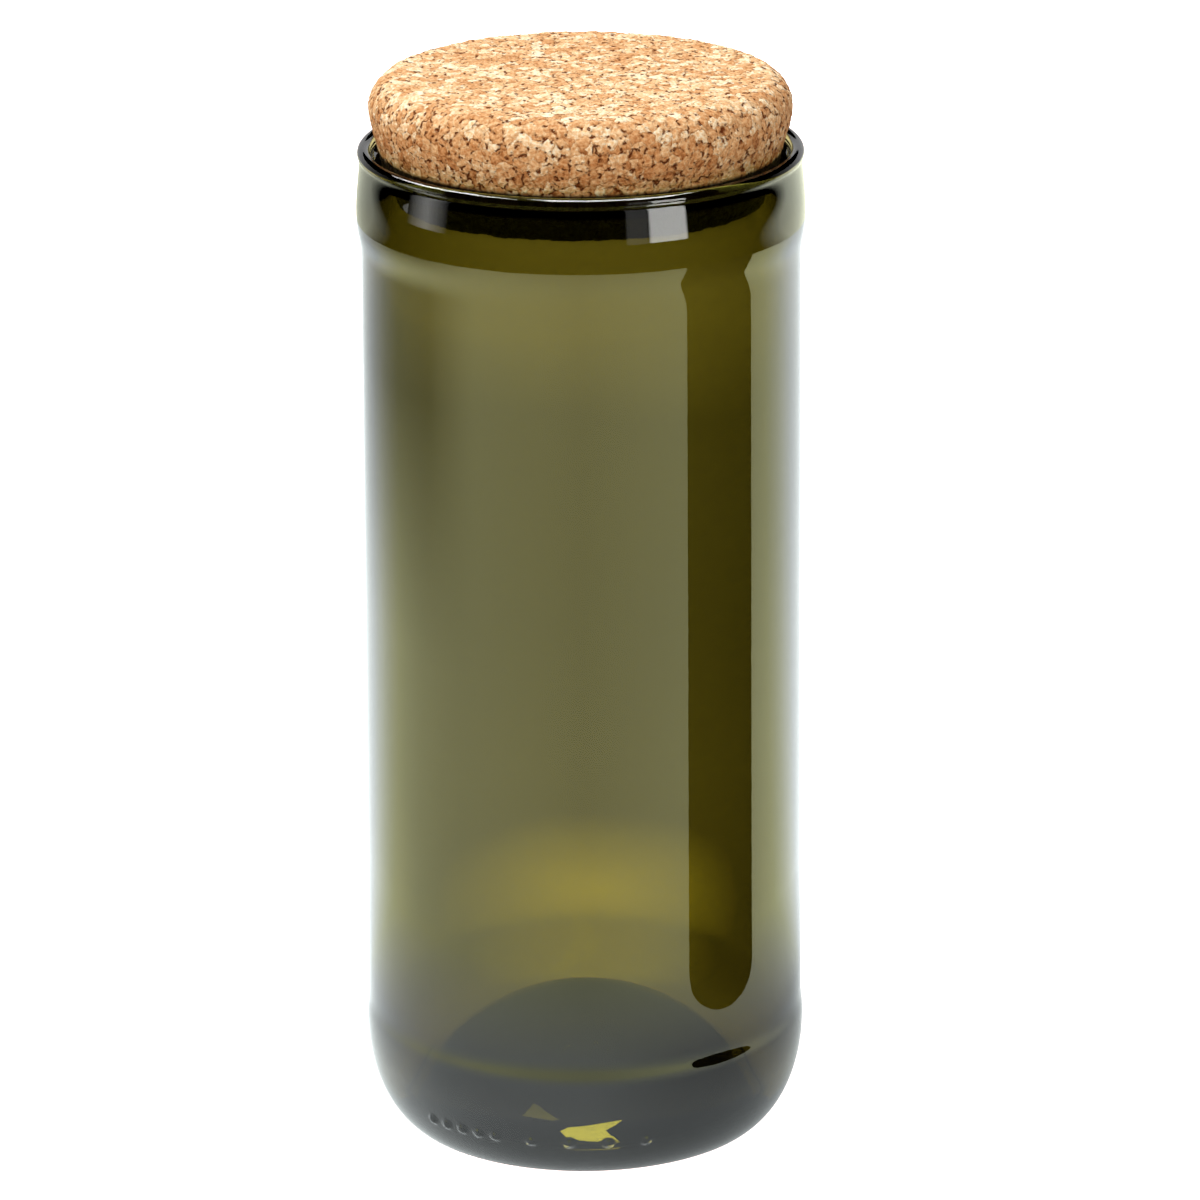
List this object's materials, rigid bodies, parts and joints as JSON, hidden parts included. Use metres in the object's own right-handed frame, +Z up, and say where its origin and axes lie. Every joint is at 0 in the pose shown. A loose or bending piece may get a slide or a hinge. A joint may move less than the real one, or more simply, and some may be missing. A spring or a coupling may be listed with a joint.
{
  "type": "storage jar",
  "caption": "Straight olive-green glass storage jar cut from a wine bottle, with a pushed-up base, a melted lip and a tapered agglomerated cork stopper.",
  "frame": {"origin": "middle of the foot ring, on the surface that the jar stands on", "axes": "+Z up along the jar's axis; -Y towards the pictured side"},
  "size_m": [0.0764, 0.0764, 0.1863],
  "materials": {
    "glass": "clear olive-green bottle glass, smooth and glossy",
    "cork": "agglomerated cork granules, sanded matt"
  },
  "bodies": {
    "root": {"glass_jar": "glass", "cork_stopper": "cork"}
  },
  "joints": []
}
